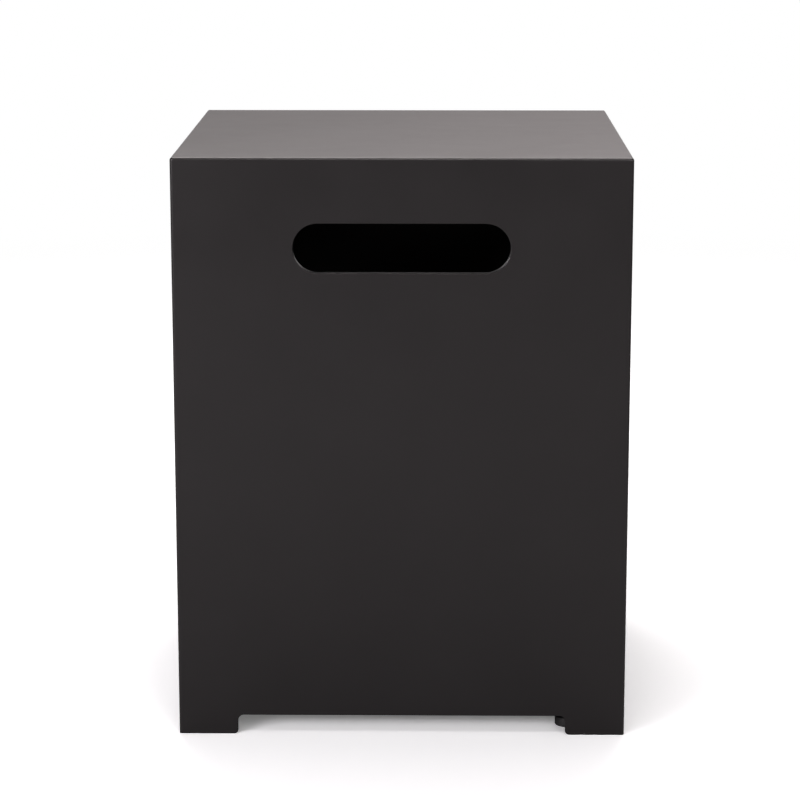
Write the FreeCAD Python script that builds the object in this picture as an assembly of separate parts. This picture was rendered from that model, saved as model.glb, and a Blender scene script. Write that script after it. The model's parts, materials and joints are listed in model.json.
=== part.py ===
import FreeCAD, Part

import math
import os

from FreeCAD import Vector

# Driving sizes of the cover, in millimetres. The origin is the centre of the
# footprint at floor level, the front faces -Y and +Z is up.
width = 406.0
depth = 406.0
height = 528.0
sheet = 1.2
bend_inner = 1.2
bend_outer = bend_inner + sheet

# How the shell divides into folded panels, butt-welded and ground flush
rim_drop = 12.0
side_return = 12.0

# Hand slot in the front and rear panels. Its rim is plunged inwards and
# coined, so that the edge outside is tighter than a bend.
slot_length = 192.0
slot_height = 44.0
slot_below_top = 80.0
slot_rim_depth = 7.0
slot_edge = 0.6

# Feet left standing between the cut-aways in the lower edges
foot_width = 54.0
foot_height = 18.0
foot_corner = 4.0
foot_fillet = 5.0

# Hat channels under the top
hat_sheet = 1.2
hat_width = 40.0
hat_depth = 14.0
hat_taper = 4.0
hat_flange = 13.0
hat_length = 356.0
hat_offset = 92.0

# Corner brackets that carry the levelling glides: one pattern, turned a
# quarter from corner to corner
bracket_sheet = 2.0
bracket_bend = 1.5
bracket_long = 80.0
bracket_short = 58.0
bracket_rise = 20.0
bracket_floor = 22.0
bracket_relief = 7.0
bracket_snip = 22.0
bracket_round = 5.0
bracket_hole_radius = 4.6

# Levelling glide: a stud with a ball foot that turns in a nylon pad
glide_from_side = 50.0
glide_from_front = 32.0
thread_radius = 4.0
thread_play = 0.05
nut_across_flats = 13.0
nut_height = 6.5
nut_chamfer = 0.8
pad_radius = 12.0
pad_height = 9.0
pad_sole_edge = 0.6
pad_shoulder = 2.0
ball_radius = 4.5
ball_height = 5.8
ball_play = 0.3
neck_radius = 3.0
neck_play = 0.4
collar_bottom = 10.0
collar_height = 5.0
stud_top = 46.0
stud_tip = 1.0

# Stitch welds, left as laid on the inside
bead_radius = 1.6
bead_length = 22.0
post_stitches = 5
rim_stitches = 3
bracket_bead_length = 14.0
hat_stitches = 4

# How far a cutting shape runs past what it cuts, and how near two places are
# to count as one
past = 1.0
near = 1e-4

inner_x = width / 2 - sheet
inner_y = depth / 2 - sheet
top_underside = height - sheet
corners = {"front_right": 0, "rear_right": 90, "rear_left": 180, "front_left": 270}
glide_x = width / 2 - glide_from_side
glide_y = glide_from_front - depth / 2


def turned(shape, degrees):
    """A copy of the shape, turned about the cover's upright centre line."""
    copy = shape.copy()
    copy.rotate(Vector(0, 0, 0), Vector(0, 0, 1), degrees)
    return copy


def arc(start, middle, end):
    return Part.Arc(start, middle, end).toShape()


def line(start, end):
    return Part.makeLine(start, end)


def box_between(low, high):
    low, high = Vector(*low), Vector(*high)
    size = high - low
    return Part.makeBox(size.x, size.y, size.z, low)


def rounded_block(half_x, half_y, bottom, top, radius):
    """A block whose upright and top edges are rounded, as a folded pan is."""
    block = box_between((-half_x, -half_y, bottom), (half_x, half_y, top))
    edges = [e for e in block.Edges if e.CenterOfMass.z > bottom + radius]
    return block.makeFillet(radius, edges)


def pill_prism(length, tall, y_from, y_to, centre_z):
    """A prism along Y whose section is a slot with round ends."""
    radius = tall / 2
    end = length / 2 - radius
    low, high = centre_z - radius, centre_z + radius
    outline = Part.Wire(
        [
            line(Vector(-end, y_from, low), Vector(end, y_from, low)),
            arc(
                Vector(end, y_from, low),
                Vector(end + radius, y_from, centre_z),
                Vector(end, y_from, high),
            ),
            line(Vector(end, y_from, high), Vector(-end, y_from, high)),
            arc(
                Vector(-end, y_from, high),
                Vector(-end - radius, y_from, centre_z),
                Vector(-end, y_from, low),
            ),
        ]
    )
    return Part.Face(outline).extrude(Vector(0, y_to - y_from, 0))


def foot_cutaway():
    """The long shallow cut between two feet, through the front wall."""
    gap = width / 2 - foot_width
    low, y = -past, -depth / 2 - past
    # An arc's middle lies this part of its radius inside both its tangents
    bulge = 1 - math.sqrt(0.5)
    right = [
        (gap + foot_corner, low),
        (gap + foot_corner, 0.0),
        (gap + foot_corner * bulge, foot_corner * bulge),
        (gap, foot_corner),
        (gap, foot_height - foot_fillet),
        (gap - foot_fillet * bulge, foot_height - foot_fillet * bulge),
        (gap - foot_fillet, foot_height),
    ]
    right = [Vector(x, y, z) for x, z in right]
    left = [Vector(-p.x, p.y, p.z) for p in right]
    edges = [line(left[-1], right[-1]), line(left[0], right[0])]
    for side in (right, left):
        edges.append(line(side[0], side[1]))
        edges.append(arc(*side[1:4]))
        edges.append(line(side[3], side[4]))
        edges.append(arc(*side[4:7]))
    outline = Part.Wire(Part.__sortEdges__(edges))
    return Part.Face(outline).extrude(Vector(0, sheet + 2 * past, 0))


def shell():
    """The five-sided sheet shell, open below, before it is cut for hands."""
    outer = rounded_block(width / 2, depth / 2, 0.0, height, bend_outer)
    inner = rounded_block(inner_x, inner_y, -past, top_underside, bend_inner)
    walls = outer.cut(inner)
    for degrees in corners.values():
        walls = walls.cut(turned(foot_cutaway(), degrees))
    return walls


def with_hand_slot(panel):
    """Opens the slot in a front panel and turns its edge inwards as a rim."""
    face_y = -depth / 2
    inner_face = face_y + sheet
    rim_end = face_y + slot_rim_depth
    centre_z = height - slot_below_top
    around = 2 * sheet
    boss = pill_prism(
        slot_length + around, slot_height + around, inner_face, rim_end, centre_z
    )
    hole = pill_prism(slot_length, slot_height, face_y - past, rim_end + past, centre_z)
    panel = panel.fuse(boss).cut(hole).removeSplitter()
    lip = [e for e in panel.Edges if on_slot_outline(e, face_y, slot_length)]
    panel = panel.makeFillet(slot_edge, lip)
    root = [e for e in panel.Edges if on_slot_outline(e, inner_face, slot_length + around)]
    return panel.makeFillet(bend_inner, root)


def on_slot_outline(edge, y, length):
    """Whether an edge lies in the plane y, on the outline of a slot."""
    box = edge.BoundBox
    level = abs(box.YMin - y) < near and abs(box.YMax - y) < near
    above = box.ZMin > height - slot_below_top - slot_height
    below = box.ZMax < height - slot_below_top + slot_height
    within = max(abs(box.XMin), abs(box.XMax)) < length / 2 + near
    return level and above and below and within


def panels():
    """The shell parted along its weld seams into the five folded panels."""
    walls = shell()
    seam_z = height - rim_drop
    seam_y = depth / 2 - side_return
    out_x, out_y = width / 2 + past, depth / 2 + past
    zones = {
        "top_panel": ((-out_x, -out_y, seam_z), (out_x, out_y, height + past)),
        "front_panel": ((-out_x, -out_y, -past), (out_x, -seam_y, seam_z)),
        "rear_panel": ((-out_x, seam_y, -past), (out_x, out_y, seam_z)),
        "left_panel": ((-out_x, -seam_y, -past), (0, seam_y, seam_z)),
        "right_panel": ((0, -seam_y, -past), (out_x, seam_y, seam_z)),
    }
    made = {name: walls.common(box_between(*zone)) for name, zone in zones.items()}
    made["front_panel"] = with_hand_slot(made["front_panel"])
    made["rear_panel"] = turned(made["front_panel"], 180)
    return made


def folded_strip(points, thickness, inner_radius, length):
    """A strip folded along a centre line of (x, z) points, run along Y."""
    line_points = [Vector(x, 0, z) for x, z in points]
    middle = inner_radius + thickness / 2
    sides = {1: [], -1: []}
    for i, here in enumerate(line_points):
        before = here - line_points[i - 1] if i else line_points[1] - here
        after = line_points[i + 1] - here if i + 1 < len(line_points) else before
        before, after = Vector(before).normalize(), Vector(after).normalize()
        normals = [Vector(-d.z, 0, d.x) for d in (before, after)]
        turn = before.getAngle(after)
        for side in sides:
            offset = side * thickness / 2
            if turn < near:
                sides[side].append([here + normals[0] * offset])
                continue
            reach = middle * math.tan(turn / 2)
            inward = (after - before).normalize()
            centre = here + inward * (middle / math.cos(turn / 2))
            start = here - before * reach + normals[0] * offset
            end = here + after * reach + normals[1] * offset
            crown = centre - inward * (start - centre).Length
            sides[side].append([start, crown, end])
    edges = []
    for knots in sides.values():
        for i, knot in enumerate(knots):
            if len(knot) == 3:
                edges.append(arc(*knot))
            if i:
                edges.append(line(knots[i - 1][-1], knot[0]))
    for end in (0, -1):
        edges.append(line(sides[1][end][end], sides[-1][end][end]))
    outline = Part.Wire(Part.__sortEdges__(edges))
    return Part.Face(outline).extrude(Vector(0, length, 0))


def hat_channel(centre_x):
    """A hat-section stiffener, its flanges flat against the top's underside."""
    half = hat_width / 2
    crown = top_underside - hat_depth + hat_sheet / 2
    seat = top_underside - hat_sheet / 2
    section = [
        (-half - hat_flange, seat),
        (-half, seat),
        (-half + hat_taper, crown),
        (half - hat_taper, crown),
        (half, seat),
        (half + hat_flange, seat),
    ]
    hat = folded_strip(section, hat_sheet, bend_inner, hat_length)
    hat.translate(Vector(centre_x, -hat_length / 2, 0))
    return hat


def bracket_angle(run, length):
    """One leg pair of the bracket: a floor towards -X and a flange up."""
    middle = bracket_sheet / 2
    section = [(-run, middle), (-middle, middle), (-middle, bracket_rise)]
    return folded_strip(section, bracket_sheet, bracket_bend, length)


def foot_bracket():
    """The front right bracket, with both flanges against the walls."""
    corner = Vector(inner_x, -inner_y, bracket_floor)
    side = bracket_angle(bracket_long, bracket_short - bracket_relief)
    side.translate(corner + Vector(0, bracket_relief, 0))
    front = turned(bracket_angle(bracket_short, bracket_long - bracket_relief), -90)
    front.translate(corner - Vector(bracket_long, 0, 0))
    bracket = side.fuse(front).removeSplitter()
    ends = [
        (inner_x - bracket_long, -inner_y),
        (inner_x, -inner_y + bracket_short),
    ]
    tips = [e for e in bracket.Edges if is_flange_tip(e, ends)]
    bracket = bracket.makeFillet(bracket_round, tips)
    snip = [
        Vector(inner_x - bracket_long, -inner_y + bracket_short - bracket_snip, 0),
        Vector(inner_x - bracket_long + bracket_snip, -inner_y + bracket_short, 0),
        Vector(inner_x - bracket_long, -inner_y + bracket_short, 0),
    ]
    prism = Part.Face(Part.makePolygon(snip + snip[:1])).extrude(Vector(0, 0, height))
    hole = Part.makeCylinder(
        bracket_hole_radius, height, Vector(glide_x, glide_y, 0)
    )
    return bracket.cut(prism).cut(hole)


def is_flange_tip(edge, ends):
    """Whether an edge is the top corner at the free end of a flange."""
    middle = edge.CenterOfMass
    high = abs(middle.z - bracket_floor - bracket_rise) < near
    at_end = any(
        math.hypot(middle.x - x, middle.y - y) < bracket_sheet for x, y in ends
    )
    return high and at_end


def hexagon(across_flats, bottom, tall):
    """An upright hexagonal prism on the front right glide's axis."""
    radius = across_flats / math.sqrt(3)
    ring = [
        Vector(
            glide_x + radius * math.cos(math.radians(60 * i)),
            glide_y + radius * math.sin(math.radians(60 * i)),
            bottom,
        )
        for i in range(6)
    ]
    return Part.Face(Part.makePolygon(ring + ring[:1])).extrude(Vector(0, 0, tall))


def revolved(profile):
    """Spins a closed (radius, z) profile about the front right glide's axis."""
    points = [Vector(glide_x + r, glide_y, z) for r, z in profile]
    face = Part.Face(Part.makePolygon(points + points[:1]))
    return face.revolve(Vector(glide_x, glide_y, 0), Vector(0, 0, 1), 360)


def hex_with_chamfers(bottom, tall):
    """A hexagon whose corners are turned off, top and bottom."""
    corner = nut_across_flats / math.sqrt(3)
    flat = nut_across_flats / 2
    top = bottom + tall
    blank = revolved(
        [
            (0, bottom),
            (flat, bottom),
            (corner, bottom + nut_chamfer),
            (corner, top - nut_chamfer),
            (flat, top),
            (0, top),
        ]
    )
    return hexagon(nut_across_flats, bottom, tall).common(blank)


def weld_nut():
    """The nut welded over the bracket's hole, bored for the stud."""
    seat = bracket_floor + bracket_sheet
    bore = Part.makeCylinder(
        thread_radius + thread_play, nut_height, Vector(glide_x, glide_y, seat)
    )
    return hex_with_chamfers(seat, nut_height).cut(bore)


def glide_stud():
    """The turning part of a glide: ball, neck, hexagon and threaded shank."""
    ball = Part.makeSphere(ball_radius, Vector(glide_x, glide_y, ball_height))
    collar_top = collar_bottom + collar_height
    shank = revolved(
        [
            (0, ball_height),
            (neck_radius, ball_height),
            (neck_radius, collar_bottom + nut_chamfer),
            (thread_radius, collar_bottom + nut_chamfer),
            (thread_radius, stud_top - stud_tip),
            (thread_radius - stud_tip, stud_top),
            (0, stud_top),
        ]
    )
    collar = hex_with_chamfers(collar_bottom, collar_top - collar_bottom)
    return ball.fuse(shank).fuse(collar).removeSplitter()


def glide_pad():
    """The nylon pad, hollowed as a socket for the ball."""
    sole = pad_radius - pad_sole_edge
    pad = revolved(
        [
            (0, 0),
            (sole, 0),
            (pad_radius, pad_sole_edge),
            (pad_radius, pad_height),
            (0, pad_height),
        ]
    )
    shoulder = [
        e
        for e in pad.Edges
        if abs(e.CenterOfMass.z - pad_height) < near and len(e.Vertexes) == 1
    ]
    pad = pad.makeFillet(pad_shoulder, shoulder)
    axis_point = Vector(glide_x, glide_y, ball_height)
    socket = Part.makeSphere(ball_radius + ball_play, axis_point)
    mouth = Part.makeCylinder(neck_radius + neck_play, pad_height, axis_point)
    return pad.cut(socket.fuse(mouth))


def bead(length, radius):
    """A half-round stitch weld along X, domed at its ends, lying on z = 0."""
    run = Part.makeCylinder(radius, length, Vector(-length / 2, 0, 0), Vector(1, 0, 0))
    for end in (-length / 2, length / 2):
        run = run.fuse(Part.makeSphere(radius, Vector(end, 0, 0)))
    keep = box_between((-length, -length, 0), (length, length, length))
    return run.removeSplitter().common(keep)


def seam_welds():
    """Stitches on the inside of the four upright seams and round the rim."""
    stitch = bead(bead_length, bead_radius)
    seam_y = depth / 2 - side_return
    seam_z = height - rim_drop
    made = []
    upright = stitch.copy()
    upright.rotate(Vector(0, 0, 0), Vector(0, 1, 0), -90)
    pitch = (seam_z - foot_height) / post_stitches
    for side in (-1, 1):
        wall = upright if side > 0 else turned(upright, 180)
        for y in (-seam_y, seam_y):
            for i in range(post_stitches):
                weld = wall.copy()
                z = foot_height + pitch * (i + 0.5)
                weld.translate(Vector(side * inner_x, y, z))
                made.append(weld)
    level = stitch.copy()
    level.rotate(Vector(0, 0, 0), Vector(1, 0, 0), -90)
    pitch = 2 * inner_x / rim_stitches
    for degrees in corners.values():
        for i in range(rim_stitches):
            weld = level.copy()
            weld.translate(Vector(pitch * (i + 0.5) - inner_x, -inner_y, seam_z))
            made.append(turned(weld, degrees))
    return Part.Compound(made)


def bracket_welds():
    """Fillet stitches along the upper edges of the bracket flanges."""
    level = bracket_floor + bracket_rise
    stitch = Part.makeCylinder(
        bracket_sheet,
        bracket_bead_length,
        Vector(-bracket_bead_length / 2, 0, 0),
        Vector(1, 0, 0),
    )
    quarter = box_between(
        (-bracket_bead_length, 0, 0), (bracket_bead_length, height, height)
    )
    stitch = stitch.common(quarter)
    clear = bracket_relief + bracket_bead_length / 2 + bracket_round
    made = []
    for along in (clear, bracket_long - clear):
        weld = stitch.copy()
        weld.translate(Vector(inner_x - along, -inner_y, level))
        made.append(weld)
    weld = turned(stitch, 90)
    middle = (bracket_relief + bracket_short) / 2
    weld.translate(Vector(inner_x, middle - inner_y, level))
    made.append(weld)
    every = [turned(w, degrees) for degrees in corners.values() for w in made]
    return Part.Compound(every)


def hat_welds():
    """Stitches along the flange edges of both hat channels."""
    stitch = Part.makeCylinder(
        hat_sheet, bead_length, Vector(0, -bead_length / 2, 0), Vector(0, 1, 0)
    )
    made = []
    edge = hat_width / 2 + hat_flange
    pitch = hat_length / hat_stitches
    for centre_x in (-hat_offset, hat_offset):
        for side in (-1, 1):
            x_from, x_to = sorted((0, side * hat_width))
            quarter = stitch.common(
                box_between((x_from, -hat_length, -hat_length), (x_to, hat_length, 0))
            )
            for i in range(hat_stitches):
                y = pitch * (i + 0.5) - hat_length / 2
                weld = quarter.copy()
                weld.translate(Vector(centre_x + side * edge, y, top_underside))
                made.append(weld)
    return Part.Compound(made)


def build():
    """Every piece of the cover, by name."""
    parts = panels()
    parts["top_stiffener_left"] = hat_channel(-hat_offset)
    parts["top_stiffener_right"] = hat_channel(hat_offset)
    nuts = []
    bracket, nut, pad, stud = foot_bracket(), weld_nut(), glide_pad(), glide_stud()
    for corner, degrees in corners.items():
        parts[f"foot_bracket_{corner}"] = turned(bracket, degrees)
        parts[f"glide_pad_{corner}"] = turned(pad, degrees)
        parts[f"glide_stud_{corner}"] = turned(stud, degrees)
        nuts.append(turned(nut, degrees))
    parts["weld_nuts"] = Part.Compound(nuts)
    parts["seam_welds"] = seam_welds()
    parts["bracket_welds"] = bracket_welds()
    parts["stiffener_welds"] = hat_welds()
    return parts


os.makedirs("parts", exist_ok=True)
for name, shape in build().items():
    shape.exportStep(f"parts/{name}.step")
    print(f"{name}: {len(shape.Solids)} solids, {shape.Volume / 1000:.2f} cm3, {shape.isValid()}")
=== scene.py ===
import json
import math

import bmesh
import bpy
from mathutils import Matrix, Vector


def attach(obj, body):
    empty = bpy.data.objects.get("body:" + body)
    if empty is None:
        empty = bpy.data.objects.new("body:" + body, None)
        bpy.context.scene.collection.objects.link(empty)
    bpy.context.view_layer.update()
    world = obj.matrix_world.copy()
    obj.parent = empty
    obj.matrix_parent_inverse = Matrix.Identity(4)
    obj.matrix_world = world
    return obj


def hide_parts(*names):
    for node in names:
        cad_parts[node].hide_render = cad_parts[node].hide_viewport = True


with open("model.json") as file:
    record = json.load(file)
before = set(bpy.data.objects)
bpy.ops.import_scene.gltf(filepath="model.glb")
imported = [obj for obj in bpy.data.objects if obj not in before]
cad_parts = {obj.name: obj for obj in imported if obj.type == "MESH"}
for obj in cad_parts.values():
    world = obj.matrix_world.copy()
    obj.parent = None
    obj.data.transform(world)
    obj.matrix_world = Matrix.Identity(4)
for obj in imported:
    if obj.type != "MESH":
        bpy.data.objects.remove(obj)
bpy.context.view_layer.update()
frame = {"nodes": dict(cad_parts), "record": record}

print("frame loaded:", len(frame["nodes"]), "nodes")

mm = 0.001
scene = bpy.context.scene
nodes = frame["nodes"]
cornerNames = ["front_right", "rear_right", "rear_left", "front_left"]

# the welded seams: height of the one under the top, and how far the corner
# ones lie in front of and behind the middle
seams = {"top": 516, "corner": 191}


# Colours and shader nodes

def linear(hexColour):
    channels = [int(hexColour[i:i + 2], 16) / 255 for i in (1, 3, 5)]
    return tuple(c / 12.92 if c < 0.04045 else ((c + 0.055) / 1.055) ** 2.4 for c in channels) + (1.0,)


def addNode(tree, kind, settings=None, links=None):
    # a setting is one of the node's own choices or, failing that, an input's value
    node = tree.nodes.new("ShaderNode" + kind)
    for name, value in (settings or {}).items():
        if isinstance(name, str) and hasattr(node, name):
            setattr(node, name, value)
        else:
            node.inputs[name].default_value = value
    for name, source in (links or {}).items():
        tree.links.new(source, node.inputs[name])
    return node


def newMaterial(name):
    material = bpy.data.materials.new(name)
    material.use_nodes = True
    material.node_tree.nodes.clear()
    return material, material.node_tree


def cellsPer(sizeInMm):
    return 1 / (sizeInMm * mm)  # texture scale, in cells a metre


# Polyester powder coat, baked on steel: near black, with a fine orange peel
# that breaks up what it mirrors, and a soft sheen at a grazing angle.
# Sizes and heights of all the finishes are in mm.
powderCoat = {
    "colour": "#0c0a0b",
    "thin": "#100e0f",          # where the coat lies thinner
    "ior": 1.5,
    "roughness": 0.30,
    "roughnessSpread": 0.04,
    "peelSize": 2.2,
    "peelHeight": 0.02,
    "grainSize": 0.45,
    "grainHeight": 0.006,
    "cloudSize": 70,            # broad, faint changes of tone and gloss
    "cloudDetail": 3.0,
    "edgeRadius": 0.8,          # how far the coat rounds a cut edge
    "edgeSamples": 6,
    "seamMargin": 2.5,          # how far from a seam the edges stay as they are
}


# Cut edges are rounded by the coat, but not where two sheets are welded and dressed flush.
def edgeWidth(tree, place):
    s = powderCoat
    split = addNode(tree, "SeparateXYZ", links={"Vector": place})
    side = addNode(tree, "Math", {"operation": "ABSOLUTE"}, {0: split.outputs["Y"]})
    keep = None
    for axis, seam in ((split.outputs["Z"], seams["top"]), (side.outputs["Value"], seams["corner"])):
        off = addNode(tree, "Math", {"operation": "SUBTRACT", 1: seam * mm}, {0: axis})
        clear = addNode(tree, "Math", {"operation": "ABSOLUTE"}, {0: off.outputs["Value"]})
        away = addNode(tree, "Math", {"operation": "GREATER_THAN", 1: s["seamMargin"] * mm},
                       {0: clear.outputs["Value"]})
        keep = away if keep is None else addNode(tree, "Math", {"operation": "MULTIPLY"},
                                                 {0: keep.outputs["Value"], 1: away.outputs["Value"]})
    return addNode(tree, "Math", {"operation": "MULTIPLY", 1: s["edgeRadius"] * mm},
                   {0: keep.outputs["Value"]}).outputs["Value"]


def makePowderCoat():
    s = powderCoat
    material, tree = newMaterial("blackPowderCoat")
    place = addNode(tree, "TexCoord").outputs["Object"]
    cloud = addNode(tree, "TexNoise", {"Scale": cellsPer(s["cloudSize"]), "Detail": s["cloudDetail"]},
                    {"Vector": place})
    peel = addNode(tree, "TexNoise", {"Scale": cellsPer(s["peelSize"]), "Detail": 1.0}, {"Vector": place})
    grain = addNode(tree, "TexNoise", {"Scale": cellsPer(s["grainSize"]), "Detail": 0.0}, {"Vector": place})
    smooth = addNode(tree, "Bevel", {"samples": s["edgeSamples"]}, {"Radius": edgeWidth(tree, place)})
    peelBump = addNode(tree, "Bump", {"Strength": 1.0, "Distance": s["peelHeight"] * mm},
                       {"Height": peel.outputs["Fac"], "Normal": smooth.outputs["Normal"]})
    grainBump = addNode(tree, "Bump", {"Strength": 1.0, "Distance": s["grainHeight"] * mm},
                        {"Height": grain.outputs["Fac"], "Normal": peelBump.outputs["Normal"]})
    tone = addNode(tree, "Mix", {"data_type": "RGBA", "A": linear(s["colour"]), "B": linear(s["thin"])},
                   {"Factor": cloud.outputs["Fac"]})
    gloss = addNode(tree, "MapRange", {"To Min": s["roughness"] - s["roughnessSpread"],
                                       "To Max": s["roughness"] + s["roughnessSpread"]},
                    {"Value": cloud.outputs["Fac"]})
    surface = addNode(tree, "BsdfPrincipled", {"IOR": s["ior"]},
                      {"Base Color": tone.outputs["Result"], "Roughness": gloss.outputs["Result"],
                       "Normal": grainBump.outputs["Normal"]})
    addNode(tree, "OutputMaterial", links={"Surface": surface.outputs["BSDF"]})
    return material


# Bright zinc plate on turned steel: a cool metal with a fine turned grain.
zincPlate = {"colour": "#b7babd", "roughness": 0.32, "roughnessSpread": 0.08, "grainSize": 0.25}


def makeZincPlate():
    s = zincPlate
    material, tree = newMaterial("brightZincPlate")
    place = addNode(tree, "TexCoord").outputs["Object"]
    grain = addNode(tree, "TexNoise", {"Scale": cellsPer(s["grainSize"]), "Detail": 2.0}, {"Vector": place})
    gloss = addNode(tree, "MapRange", {"To Min": s["roughness"] - s["roughnessSpread"],
                                       "To Max": s["roughness"] + s["roughnessSpread"]},
                    {"Value": grain.outputs["Fac"]})
    surface = addNode(tree, "BsdfPrincipled", {"Metallic": 1.0, "Base Color": linear(s["colour"])},
                      {"Roughness": gloss.outputs["Result"]})
    addNode(tree, "OutputMaterial", links={"Surface": surface.outputs["BSDF"]})
    return material


# Black nylon, moulded in a spark-eroded tool: matt, with a fine even grain.
mouldedNylon = {"colour": "#0c0c0d", "ior": 1.53, "roughness": 0.62, "grainSize": 0.3, "grainHeight": 0.01}


def makeMouldedNylon():
    s = mouldedNylon
    material, tree = newMaterial("blackMouldedNylon")
    place = addNode(tree, "TexCoord").outputs["Object"]
    grain = addNode(tree, "TexNoise", {"Scale": cellsPer(s["grainSize"]), "Detail": 1.0}, {"Vector": place})
    bump = addNode(tree, "Bump", {"Strength": 1.0, "Distance": s["grainHeight"] * mm},
                   {"Height": grain.outputs["Fac"]})
    surface = addNode(tree, "BsdfPrincipled", {"IOR": s["ior"], "Base Color": linear(s["colour"]),
                                               "Roughness": s["roughness"]},
                      {"Normal": bump.outputs["Normal"]})
    addNode(tree, "OutputMaterial", links={"Surface": surface.outputs["BSDF"]})
    return material


finishes = {"powder_coat": makePowderCoat(), "zinc_plate": makeZincPlate(), "glide_nylon": makeMouldedNylon()}


def dress(piece, slotName):
    piece.data.materials.clear()
    piece.data.materials.append(finishes[slotName])


for part in frame["record"]["subparts"]:
    dress(nodes[part["node"]], part["material_slot"])
print("finishes made")


# Shapes shared by the new pieces. All their sizes are in mm.

meshing = {
    "merge": 0.001,         # corners closer than this are one
    "threadMerge": 0.002,   # the same where the turns of a thread meet
    "sharpFrom": 32,        # degrees, past which an edge stays a crease
}
halfSide = math.radians(30)  # half the angle that one side of a hexagon spans


def spun(bm, profile, steps):
    # a line of (radius, height) points, turned about the Z axis
    points = [bm.verts.new((r * mm, 0, z * mm)) for r, z in profile]
    edges = [bm.edges.new(pair) for pair in zip(points, points[1:])]
    bmesh.ops.spin(bm, geom=points + edges, cent=(0, 0, 0), axis=(0, 0, 1), angle=math.tau, steps=steps,
                   use_merge=True)


def arcPoints(centre, radius, start, end, count):
    turns = [math.radians(start + (end - start) * i / count) for i in range(count + 1)]
    return [(centre[0] + radius * math.cos(a), centre[1] + radius * math.sin(a)) for a in turns]


def cornerOf(flat):
    return flat / math.cos(halfSide)  # a hexagon's radius over its corners


def squareUp(bm, flat, face, bottom, top, chamfer):
    # pulls the outer rings of a turned blank in to a hexagon whose corners are turned off as a cone
    corner, slack = cornerOf(flat), 0.01
    for v in bm.verts:
        if v.co.xy.length < (corner - slack) * mm or not bottom < v.co.z / mm < top:
            continue
        turn = math.atan2(v.co.y, v.co.x) % (2 * halfSide)
        reach = flat / math.cos(turn - halfSide)
        drop = chamfer * (reach - face) / (corner - face)
        v.co.z = (bottom + drop if v.co.z / mm < (bottom + top) / 2 else top - drop) * mm
        v.co.xy = v.co.xy.normalized() * reach * mm


def asPiece(bm, name, slotName, body, *stoodFor):
    bmesh.ops.remove_doubles(bm, verts=bm.verts, dist=meshing["merge"] * mm)
    bmesh.ops.recalc_face_normals(bm, faces=bm.faces)
    mesh = bpy.data.meshes.new(name)
    bm.to_mesh(mesh)
    bm.free()
    mesh.shade_smooth()
    mesh.set_sharp_from_angle(angle=math.radians(meshing["sharpFrom"]))
    piece = bpy.data.objects.new(name, mesh)
    scene.collection.objects.link(piece)
    dress(piece, slotName)
    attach(piece, body)
    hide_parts(*stoodFor)


# where the front right glide stands; the others lie a quarter turn apart
glidePlace = (153, -171)


def cornerTurn(n):
    return Matrix.Rotation(math.radians(90 * n), 4, "Z")


def atEachCorner(bm, kind, slotName, body, node):
    place = Matrix.Translation((glidePlace[0] * mm, glidePlace[1] * mm, 0))
    for n, corner in enumerate(cornerNames):
        part = bm.copy()
        bmesh.ops.transform(part, matrix=cornerTurn(n) @ place, verts=part.verts)
        asPiece(part, f"{kind}_{corner}", slotName, f"{body}_{corner}", f"{node}_{corner}")
    bm.free()


# Glide stud: an M8 coarse thread with a relief under it, a turned hexagon, and
# the ball that snaps into the pad
stud = {
    "ball": 4.5,            # radius
    "ballHeight": 5.8,      # of its middle above the floor
    "ballFlat": 1.2,        # radius of the flat under it
    "ballSteps": 14,
    "neck": 3.0,
    "neckFillet": 0.3,
    "hexFrom": 10.0,
    "hexTo": 15.0,
    "hexFlat": 6.5,         # half of 13 mm across the flats
    "hexFace": 6.2,         # radius of the flat that the chamfers leave on its ends
    "hexChamfer": 0.8,
    "hexSteps": 48,
    "relief": 3.25,
    "coreInHex": 0.2,       # how far the relieved shank runs into the hexagon
    "coreInThread": 0.1,    # and into the thread
    "threadFrom": 16.0,
    "lead": 1.2,            # pitches wound below that, to be cut off square
    "runOut": 0.7,          # over which the thread rises from the relief
    "crest": 4.0,
    "root": 3.32,
    "pitch": 1.25,
    "top": 46.0,
    "tip": 1.0,             # chamfer on the end
    "steps": 32,
}


def cutThread(bm, s):
    # one pitch of the metric thread form, wound up the shank, then cut off square at both ends
    p = s["pitch"]
    first = s["threadFrom"] - s["lead"] * p
    form = [(s["root"], 0), (s["root"], p / 8), (s["crest"], p * 7 / 16), (s["crest"], p * 9 / 16),
            (s["root"], p * 7 / 8), (s["root"], p)]
    points = [bm.verts.new((r * mm, 0, (first + z) * mm)) for r, z in form]
    edges = [bm.edges.new(pair) for pair in zip(points, points[1:])]
    turns = math.ceil((s["top"] - first) / p) + 1
    bmesh.ops.spin(bm, geom=points + edges, cent=(0, 0, 0), axis=(0, 0, 1), angle=math.tau * turns,
                   steps=s["steps"] * turns, dvec=(0, 0, p * mm / s["steps"]))
    bmesh.ops.remove_doubles(bm, verts=bm.verts, dist=meshing["threadMerge"] * mm)
    ends = [s["threadFrom"], s["threadFrom"] + s["runOut"] / 2, s["threadFrom"] + s["runOut"],
            s["top"] - s["tip"], s["top"] - s["tip"] / 2, s["top"]]
    for z in ends:
        bmesh.ops.bisect_plane(bm, geom=bm.verts[:] + bm.edges[:] + bm.faces[:], plane_co=(0, 0, z * mm),
                               plane_no=(0, 0, 1), clear_inner=z == ends[0], clear_outer=z == ends[-1])
    for v in bm.verts:  # chamfered at the tip, and run out into the relief
        r, z = v.co.xy.length / mm, v.co.z / mm
        most = min(s["crest"] + s["top"] - s["tip"] - z, s["relief"] + z - s["threadFrom"])
        if r > most:
            v.co.xy *= most / r
    bmesh.ops.holes_fill(bm, edges=[e for e in bm.edges if e.is_boundary], sides=0)


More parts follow.
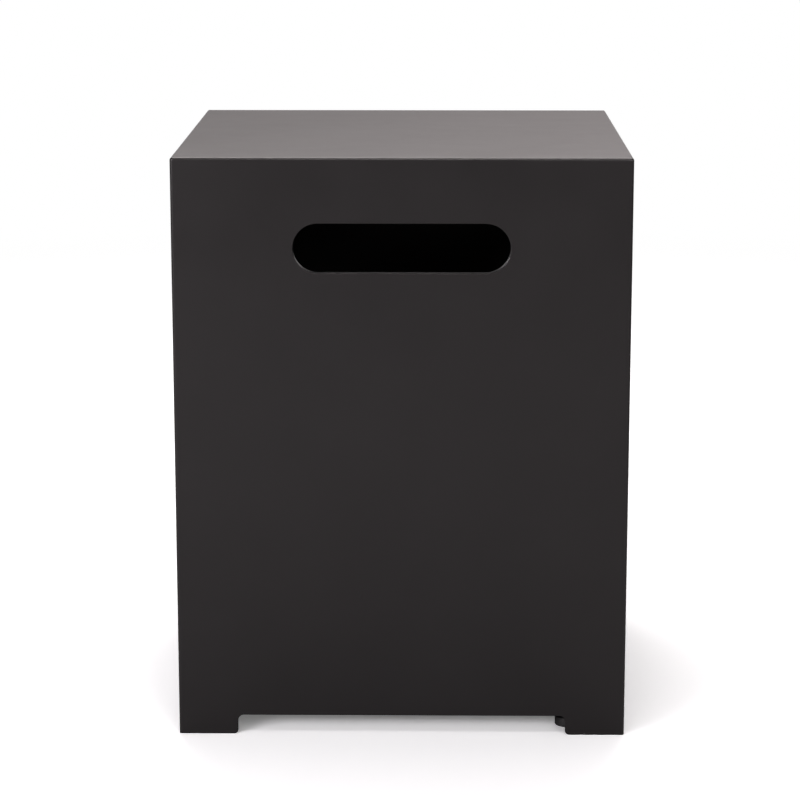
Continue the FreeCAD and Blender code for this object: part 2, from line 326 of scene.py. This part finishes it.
def makeStuds():
    s = stud
    bm = bmesh.new()
    cutThread(bm, s)
    low, high = s["hexTo"] - s["coreInHex"], s["threadFrom"] + s["coreInThread"]
    spun(bm, [(0, low), (s["relief"], low), (s["relief"], high), (0, high)], s["steps"])
    under = math.degrees(math.acos(s["ballFlat"] / s["ball"]))
    over = math.degrees(math.acos(s["neck"] / s["ball"]))
    ball = arcPoints((0, s["ballHeight"]), s["ball"], -under, over, s["ballSteps"])
    neck, fillet, seat = s["neck"], s["neckFillet"], s["hexFrom"]
    spun(bm, [(0, ball[0][1])] + ball + [(neck, seat - fillet), (neck + fillet, seat), (neck, seat + fillet),
                                         (0, seat + fillet)], s["steps"])
    corner = cornerOf(s["hexFlat"])
    spun(bm, [(0, s["hexFrom"]), (s["hexFace"], s["hexFrom"]), (corner, s["hexFrom"] + s["hexChamfer"]),
              (corner, s["hexTo"] - s["hexChamfer"]), (s["hexFace"], s["hexTo"]), (0, s["hexTo"])],
         s["hexSteps"])
    squareUp(bm, s["hexFlat"], s["hexFace"], s["hexFrom"], s["hexTo"], s["hexChamfer"])
    atEachCorner(bm, "threadedStud", "zinc_plate", "stud", "glide_stud")


# Glide pad: moulded in nylon, with two grooves in its sole against slipping, the
# mould's parting line round its side, and a dished top round the socket
pad = {
    "radius": 12.0,
    "height": 9.0,
    "soleEdge": 0.6,
    "soleSteps": 4,
    "shoulder": 2.0,
    "shoulderSteps": 8,
    "gateRadius": 2.2,      # the recess under the sole, where the mould was filled
    "gateDepth": 0.4,
    "gateSlope": 0.3,
    "grooves": (5.6, 9.0),  # their radii
    "grooveHalf": 0.4,
    "grooveSlope": 0.15,
    "grooveDepth": 0.5,
    "partingHeight": 3.4,
    "parting": 0.07,        # how far the line stands out
    "partingHalf": 0.04,
    "partingFoot": 0.12,
    "dishFrom": 5.2,
    "dishTo": 9.0,
    "dishSlope": 0.4,
    "dishDepth": 0.35,
    "socket": 4.8,
    "socketHeight": 5.8,
    "socketSteps": 16,
    "mouthLevel": 8.8,      # where the socket's wall gives way to its eased mouth
    "mouthSlope": 0.25,
    "steps": 72,
}


def makePads():
    s = pad
    radius, height, side = s["radius"], s["height"], s["radius"] - s["parting"]
    line = [(0, s["gateDepth"]), (s["gateRadius"], s["gateDepth"]), (s["gateRadius"] + s["gateSlope"], 0)]
    half, slope, deep = s["grooveHalf"], s["grooveSlope"], s["grooveDepth"]
    for groove in s["grooves"]:
        line += [(groove - half - slope, 0), (groove - half, deep), (groove + half, deep),
                 (groove + half + slope, 0)]
    line += arcPoints((side - s["soleEdge"], s["soleEdge"]), s["soleEdge"], -90, 0, s["soleSteps"])
    seam, half, foot = s["partingHeight"], s["partingHalf"], s["partingFoot"]
    line += [(side, seam - foot), (radius, seam - half), (radius, seam + half), (side, seam + foot)]
    line += arcPoints((side - s["shoulder"], height - s["shoulder"]), s["shoulder"], 0, 90, s["shoulderSteps"])
    low, slope = height - s["dishDepth"], s["dishSlope"]
    line += [(s["dishTo"], height), (s["dishTo"] - slope, low), (s["dishFrom"] + slope, low),
             (s["dishFrom"], height)]
    rise = s["mouthLevel"] - s["socketHeight"]
    line += [(math.sqrt(s["socket"] ** 2 - rise ** 2) + s["mouthSlope"], height)]
    mouth = math.degrees(math.asin(rise / s["socket"]))
    line += arcPoints((0, s["socketHeight"]), s["socket"], mouth, -90, s["socketSteps"])
    bm = bmesh.new()
    spun(bm, line, s["steps"])
    atEachCorner(bm, "nylonPad", "glide_nylon", "pad", "glide_pad")


# Weld nuts: hexagons with eased mouths, each held by three resistance welds under its corners
weldNut = {
    "seat": 24.0,           # height of the bracket's top
    "height": 6.5,
    "flat": 6.5,            # half of 13 mm across the flats
    "face": 6.2,            # radius of the flat that the chamfers leave on its ends
    "chamfer": 0.8,
    "bore": 4.05,
    "mouth": 0.5,
    "steps": 48,
    "welds": 3,
    "weldRadius": 1.1,
    "weldHeight": 0.6,
    "weldReach": 7.2,       # from the middle of the nut
    "weldSegments": 16,
    "weldRings": 8,
}


def makeWeldNuts():
    s = weldNut
    low, high = s["seat"], s["seat"] + s["height"]
    corner = cornerOf(s["flat"])
    bm = bmesh.new()
    spun(bm, [(s["bore"], low + s["mouth"]), (s["bore"] + s["mouth"], low), (s["face"], low),
              (corner, low + s["chamfer"]), (corner, high - s["chamfer"]), (s["face"], high),
              (s["bore"] + s["mouth"], high), (s["bore"], high - s["mouth"]), (s["bore"], low + s["mouth"])],
         s["steps"])
    squareUp(bm, s["flat"], s["face"], low, high, s["chamfer"])
    for i in range(s["welds"]):
        weld = bmesh.ops.create_uvsphere(bm, u_segments=s["weldSegments"], v_segments=s["weldRings"],
                                         radius=s["weldRadius"] * mm)["verts"]
        bmesh.ops.scale(bm, vec=(1, 1, s["weldHeight"] / s["weldRadius"]), verts=weld)
        reach = Matrix.Translation((s["weldReach"] * mm, 0, low * mm))
        turn = Matrix.Rotation(math.radians(360 * i / s["welds"]), 4, "Z")
        bmesh.ops.transform(bm, matrix=turn @ reach, verts=weld)
    bmesh.ops.translate(bm, vec=(glidePlace[0] * mm, glidePlace[1] * mm, 0), verts=bm.verts)
    first = bm.verts[:] + bm.edges[:] + bm.faces[:]
    for n in range(1, len(cornerNames)):
        copy = bmesh.ops.duplicate(bm, geom=first)["geom"]
        copied = [v for v in copy if isinstance(v, bmesh.types.BMVert)]
        bmesh.ops.transform(bm, matrix=cornerTurn(n), verts=copied)
    asPiece(bm, "weldedNuts", "powder_coat", "cover", "weld_nuts")


# Weld beads, laid as a row of overlapping drops: half round over a seam, a
# quarter round in a corner
seamBead = {"length": 25.2, "radius": 1.6, "sweep": 180}
bracketBead = {"length": 14, "radius": 2.0, "sweep": 90}
hatBead = {"length": 22, "radius": 1.2, "sweep": 90}
ripple = {
    "spacing": 1.5,         # from one drop to the next
    "depth": 0.14,          # of the dips between them, as a part of the radius
    "crescent": 0.8,        # how far the middle of a drop's rim runs ahead
    "swell": 0.04,          # how much the bead's thickness wanders, as a part of the radius
    "swellTurn": 0.7,       # and how quickly, in radians a mm
    "start": 7,             # times a bead's distance from the middle, so that no two are alike
    "rows": 6,              # faces along one drop
    "columns": 9,           # faces across
}
beadPlaces = {
    "wall": 201.8,          # inner faces of the panels
    "topBeads": 3,          # on each side, under the top
    "topPitch": 134.53,
    "cornerBeads": 5,       # up each corner seam
    "cornerFrom": 67.8,     # height of the lowest
    "cornerPitch": 99.6,
    "bracketHeight": 42,
    "bracketFront": (140.8, 182.8),
    "bracketSide": -169.3,
    "hatCentres": (-92, 92),
    "hatHalf": 33,          # from a stiffener's middle to the edge of its flange
    "hatHeight": 526.8,     # underside of the top
    "hatBeads": 4,          # along each flange
    "hatPitch": 89,
}


def layBead(bm, s, matrix):
    half, radius, last = s["length"] / 2, s["radius"], ripple["columns"]
    rows = round(s["length"] / ripple["spacing"] * ripple["rows"])
    laid = bmesh.ops.create_grid(bm, x_segments=rows, y_segments=last, size=1.0)["verts"]
    started = ripple["start"] * matrix.translation.length / mm
    for v in laid:
        along, column = v.co.x * half, round((v.co.y + 1) / 2 * last)
        turn = math.radians(s["sweep"]) * (column - 1) / (last - 2)
        swell = 1 - ripple["swell"] + ripple["swell"] * math.sin(along * ripple["swellTurn"] + started)
        if half - abs(along) < radius:  # rounded off at both ends
            swell *= math.sqrt(max(0.0, 1 - (1 - (half - abs(along)) / radius) ** 2))
        bow = math.cos(turn - math.radians(s["sweep"] / 2))
        drop = abs(math.sin(math.pi * (along + started - ripple["crescent"] * bow) / ripple["spacing"]))
        reach = radius * swell * (1 - ripple["depth"] * (1 - drop))
        if column in (0, last):
            reach = 0.0  # both edges of the grid meet in the bead's root
        v.co = Vector((along, reach * math.cos(turn), reach * math.sin(turn))) * mm
    bmesh.ops.transform(bm, matrix=matrix, verts=laid)


def spot(x, y, z, turn=0, axis="X"):
    return Matrix.Translation((x * mm, y * mm, z * mm)) @ Matrix.Rotation(math.radians(turn), 4, axis)


def spread(count, pitch):
    return [pitch * (i - (count - 1) / 2) for i in range(count)]  # evenly, about the middle


def makeSeamBeads():
    s = beadPlaces
    bm = bmesh.new()
    for n in range(len(cornerNames)):
        for x in spread(s["topBeads"], s["topPitch"]):
            layBead(bm, seamBead, cornerTurn(n) @ spot(x, -s["wall"], seams["top"], -90))
    for side in (0, 2):
        for y in (-seams["corner"], seams["corner"]):
            for i in range(s["cornerBeads"]):
                height = s["cornerFrom"] + s["cornerPitch"] * i
                layBead(bm, seamBead, cornerTurn(side) @ spot(s["wall"], y, height, -90, "Y"))
    asPiece(bm, "seamBeads", "powder_coat", "cover", "seam_welds")


def makeBracketBeads():
    s = beadPlaces
    bm = bmesh.new()
    for n in range(len(cornerNames)):
        for x in s["bracketFront"]:
            layBead(bm, bracketBead, cornerTurn(n) @ spot(x, -s["wall"], s["bracketHeight"]))
        beside = spot(s["wall"], s["bracketSide"], s["bracketHeight"], 90, "Z")
        layBead(bm, bracketBead, cornerTurn(n) @ beside)
    asPiece(bm, "bracketBeads", "powder_coat", "cover", "bracket_welds")


def makeStiffenerBeads():
    s = beadPlaces
    upsideDown = Matrix.Rotation(math.pi, 4, "X")
    bm = bmesh.new()
    for centre in s["hatCentres"]:
        for side in (0, 2):
            for y in spread(s["hatBeads"], s["hatPitch"]):
                flange = cornerTurn(side) @ spot(s["hatHalf"], y, 0, 90, "Z")
                layBead(bm, hatBead, spot(centre, 0, s["hatHeight"]) @ flange @ upsideDown)
    asPiece(bm, "stiffenerBeads", "powder_coat", "cover", "stiffener_welds")


makeStuds()
makePads()
makeWeldNuts()
makeSeamBeads()
makeBracketBeads()
makeStiffenerBeads()
print("glides, nuts and weld beads made")


# Floor, surroundings and lamps. Distances are in metres here, and the heights
# of the surroundings are the sine of the angle above the horizon.

studio = {
    "floorHalf": 30.0,
    "floorColour": "#b8b8b8",           # what the floor gives back to the object
    "floorSeen": (1.21, 1.262, 1.27),   # how light it is to the camera, so that only shadows show
    "floorLift": 0.138,                 # light that comes round under the cover
    "fadeFrom": 1.2,                    # from here to there the floor goes over into plain white
    "fadeTo": 3.0,
    "backdropFrom": 3.0,                # how far behind the object metal and glass see the white floor
    "backdropTo": 6.0,
    "horizonFrom": 0.02,                # and how far up the white behind it
    "horizonTo": 0.10,
    "glowColour": "#fff2f2",
    "glowLeft": 0.267,                  # pale surroundings behind the object, low at the left
    "glowRight": 0.543,                 # the same at the right
    "glowAbove": 0.3,                   # and higher up
    "glowFront": 0.40,                  # the dim room behind the camera
    "glowFrontAbove": 0.0,              # and its ceiling
    "aboveFrom": 0.32,                  # where low goes over into high
    "aboveTo": 0.48,
    "blend": 0.12,                      # how far left and right, and front and back, run together
}


def makeFloor():
    s = studio
    mesh = bpy.data.meshes.new("floor")
    bm = bmesh.new()
    bmesh.ops.create_grid(bm, x_segments=1, y_segments=1, size=s["floorHalf"])
    bm.to_mesh(mesh)
    bm.free()
    floor = bpy.data.objects.new("floor", mesh)
    scene.collection.objects.link(floor)
    material, tree = newMaterial("paleFloor")
    given = addNode(tree, "BsdfDiffuse", {"Color": linear(s["floorColour"])})
    near = addNode(tree, "BsdfDiffuse", {"Color": (*s["floorSeen"], 1.0)})
    lift = addNode(tree, "Emission", {"Strength": s["floorLift"]})
    lifted = addNode(tree, "AddShader", links={0: near.outputs["BSDF"], 1: lift.outputs["Emission"]})
    far = addNode(tree, "Emission", {"Strength": 1.0})
    place = addNode(tree, "TexCoord").outputs["Object"]
    away = addNode(tree, "VectorMath", {"operation": "LENGTH"}, {0: place}).outputs["Value"]
    fade = addNode(tree, "MapRange", {"interpolation_type": "SMOOTHSTEP", "From Min": s["fadeFrom"],
                                      "From Max": s["fadeTo"]}, {"Value": away})
    seen = addNode(tree, "MixShader", links={"Fac": fade.outputs["Result"], 1: lifted.outputs["Shader"],
                                             2: far.outputs["Emission"]})
    path = addNode(tree, "LightPath")
    mirrored = addNode(tree, "Math", {"operation": "ADD"},
                       {0: path.outputs["Is Glossy Ray"], 1: path.outputs["Is Transmission Ray"]})
    split = addNode(tree, "SeparateXYZ", links={"Vector": place})
    behind = addNode(tree, "MapRange", {"interpolation_type": "SMOOTHSTEP", "From Min": s["backdropFrom"],
                                        "From Max": s["backdropTo"]}, {"Value": split.outputs["Y"]})
    backdrop = addNode(tree, "Math", {"operation": "MULTIPLY"},
                       {0: mirrored.outputs["Value"], 1: behind.outputs["Result"]})
    lit = addNode(tree, "MixShader", links={"Fac": backdrop.outputs["Value"], 1: given.outputs["BSDF"],
                                            2: far.outputs["Emission"]})
    surface = addNode(tree, "MixShader", links={"Fac": path.outputs["Is Camera Ray"],
                                                1: lit.outputs["Shader"], 2: seen.outputs["Shader"]})
    addNode(tree, "OutputMaterial", links={"Surface": surface.outputs["Shader"]})
    mesh.materials.append(material)


def makeWorld():
    s = studio
    world = bpy.data.worlds.new("studioWorld")
    scene.world = world
    world.use_nodes = True
    tree = world.node_tree
    tree.nodes.clear()
    direction = addNode(tree, "TexCoord").outputs["Generated"]
    split = addNode(tree, "SeparateXYZ", links={"Vector": direction})
    low = addNode(tree, "MapRange", {"From Min": -s["blend"], "From Max": s["blend"],
                                     "To Min": s["glowLeft"], "To Max": s["glowRight"]},
                  {"Value": split.outputs["X"]})
    rise = addNode(tree, "MapRange", {"From Min": s["aboveFrom"], "From Max": s["aboveTo"]},
                   {"Value": split.outputs["Z"]})
    back = addNode(tree, "Mix", {"data_type": "FLOAT", "B": s["glowAbove"]},
                   {"Factor": rise.outputs["Result"], "A": low.outputs["Result"]})
    front = addNode(tree, "MapRange", {"From Min": s["aboveFrom"], "From Max": s["aboveTo"],
                                       "To Min": s["glowFront"], "To Max": s["glowFrontAbove"]},
                    {"Value": split.outputs["Z"]})
    around = addNode(tree, "MapRange", {"From Min": -s["blend"], "From Max": s["blend"]},
                     {"Value": split.outputs["Y"], "To Min": front.outputs["Result"],
                      "To Max": back.outputs["Result"]})
    given = addNode(tree, "Background", {"Color": linear(s["glowColour"])},
                    {"Strength": around.outputs["Result"]})
    white = addNode(tree, "Background", {"Color": (1.0, 1.0, 1.0, 1.0)})
    path = addNode(tree, "LightPath")
    mirrored = addNode(tree, "Math", {"operation": "ADD"},
                       {0: path.outputs["Is Glossy Ray"], 1: path.outputs["Is Transmission Ray"]})
    behind = addNode(tree, "MapRange", {"From Min": -s["blend"], "From Max": s["blend"]},
                     {"Value": split.outputs["Y"]})
    horizon = addNode(tree, "MapRange", {"From Min": s["horizonFrom"], "From Max": s["horizonTo"],
                                         "To Min": 1.0, "To Max": 0.0}, {"Value": split.outputs["Z"]})
    backdrop = addNode(tree, "Math", {"operation": "MULTIPLY"},
                       {0: behind.outputs["Result"], 1: horizon.outputs["Result"]})
    shown = addNode(tree, "Math", {"operation": "MULTIPLY_ADD"},
                    {0: mirrored.outputs["Value"], 1: backdrop.outputs["Value"],
                     2: path.outputs["Is Camera Ray"]})
    glow = addNode(tree, "MixShader", links={"Fac": shown.outputs["Value"], 1: given.outputs["Background"],
                                             2: white.outputs["Background"]})
    addNode(tree, "OutputWorld", links={"Surface": glow.outputs["Shader"]})


# Soft boxes: bearing is measured round from the front, to the right, and height
# is the angle above the floor, both in degrees from the middle under the object.
softBoxes = {
    # low at the left, for the lighter top left corner of the front
    "keyStrip": {"bearing": -38, "height": 18.7, "distance": 3.5, "size": (1.7, 0.46), "power": 81,
                 "colour": "#fff8fb"},
    # broad and further off at the right, for the even tone of the front
    "fill": {"bearing": 25, "height": 25, "distance": 4.0, "size": (1.5, 1.5), "power": 41.5,
             "colour": "#fff8f8"},
    # over the top and a little behind
    "overhead": {"bearing": 180, "height": 74, "distance": 2.6, "size": (1.7, 1.7), "power": 14,
                 "colour": "#fff8f8"},
    # behind, for the light line along the top's front edge and the soft shade in front
    "rear": {"bearing": 180, "height": 45, "distance": 3.0, "size": (2.2, 0.8), "power": 39.5,
             "colour": "#fff8f8"},
    # above the camera, for the lower lip of the hand slot
    "frontAbove": {"bearing": 0, "height": 60, "distance": 3.0, "size": (0.8, 0.5), "power": 15.5,
                   "colour": "#fff8f8"},
}


def makeSoftBox(name, s):
    lamp = bpy.data.lights.new(name, "AREA")
    lamp.shape = "RECTANGLE"
    lamp.size, lamp.size_y = s["size"]
    lamp.energy = s["power"]
    lamp.color = linear(s["colour"])[:3]
    box = bpy.data.objects.new(name, lamp)
    scene.collection.objects.link(box)
    bearing, height = math.radians(s["bearing"]), math.radians(s["height"])
    level = math.cos(height)
    aim = Vector((math.sin(bearing) * level, -math.cos(bearing) * level, math.sin(height)))
    box.location = aim * s["distance"]
    box.rotation_euler = aim.to_track_quat("Z", "Y").to_euler()


makeFloor()
makeWorld()
for name, settings in softBoxes.items():
    makeSoftBox(name, settings)
print("studio made")


# Camera: in front and higher than the top, looking down at the photograph's
# angle. Its place is in mm and its angles are in degrees.

view = {"lens": 120.4, "sensor": 36, "place": (27, -2529, 810), "down": 12.08, "turn": 0.70}


def makeCamera():
    optics = bpy.data.cameras.new("camera")
    optics.lens, optics.sensor_width = view["lens"], view["sensor"]
    camera = bpy.data.objects.new("camera", optics)
    scene.collection.objects.link(camera)
    camera.location = Vector(view["place"]) * mm
    camera.rotation_euler = (math.radians(90 - view["down"]), 0, math.radians(view["turn"]))
    scene.camera = camera


makeCamera()
scene.view_settings.view_transform = "Standard"
print("camera set")
